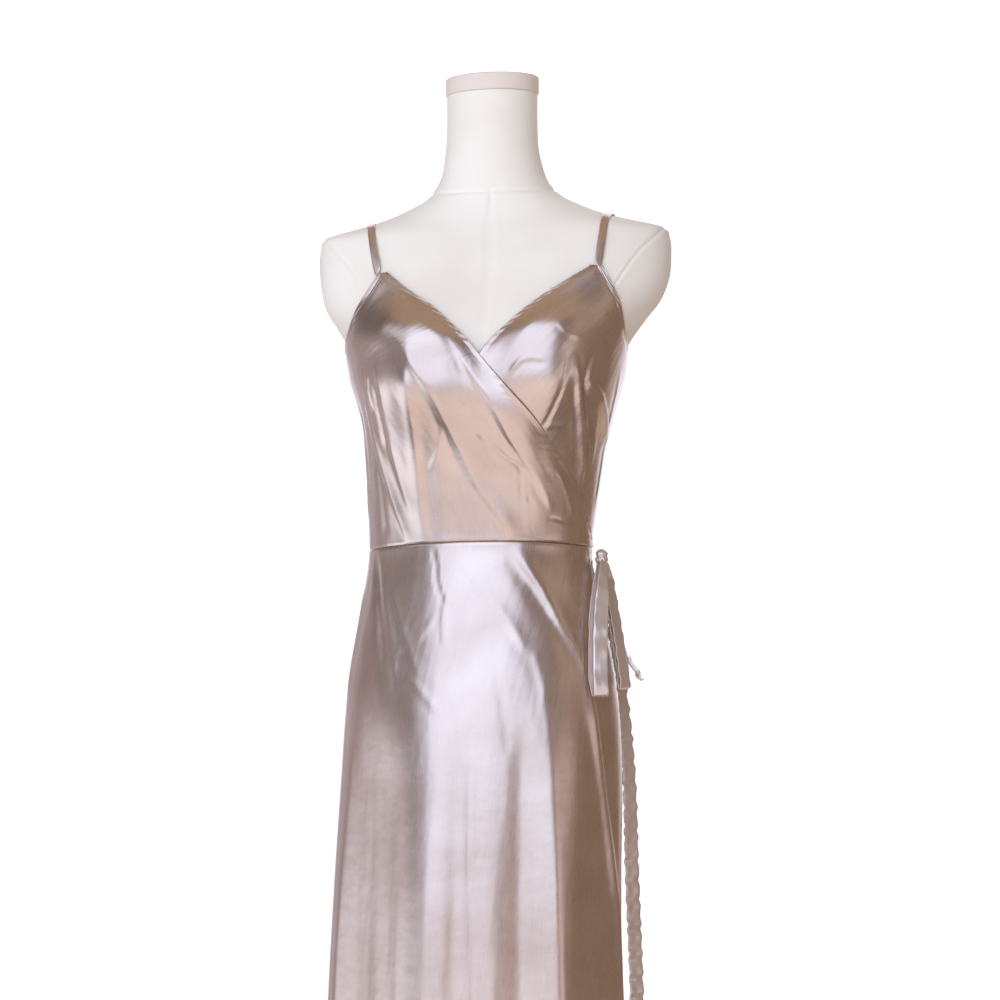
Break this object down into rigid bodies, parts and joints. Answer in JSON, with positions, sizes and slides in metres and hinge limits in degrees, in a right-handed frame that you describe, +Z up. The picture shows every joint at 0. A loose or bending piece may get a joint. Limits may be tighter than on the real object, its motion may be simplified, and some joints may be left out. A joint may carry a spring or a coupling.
{
  "type": "bridesmaid dress on a dress form",
  "caption": "Floor-length satin wrap dress with thin straps, a V neck and a side bow, standing on a limbless dress form with a round base.",
  "frame": {"origin": "on the floor, at the middle of the stand base's underside", "axes": "+Z up; the dress faces -Y; +X is the wearer's left, where the wrap is tied"},
  "size_m": [0.384, 0.34, 1.5707],
  "materials": {
    "satin": "champagne satin with a strong soft sheen",
    "jersey": "matt cream jersey stretched over the form",
    "cap": "pale pinkish-beige smooth cover",
    "stand": "brushed steel"
  },
  "bodies": {
    "root": {"bodice_front_over": "satin", "bodice_front_under": "satin", "bodice_back": "satin", "skirt_front_over": "satin", "skirt_front_under": "satin", "skirt_back": "satin", "strap_right": "satin", "strap_left": "satin", "tie_knot": "satin", "tie_loop_front": "satin", "tie_loop_back": "satin", "tie_tail_short": "satin", "tie_tail_long": "satin", "form_torso": "jersey", "form_neck_cap": "cap", "stand_pole": "stand", "stand_base": "stand"}
  },
  "joints": []
}
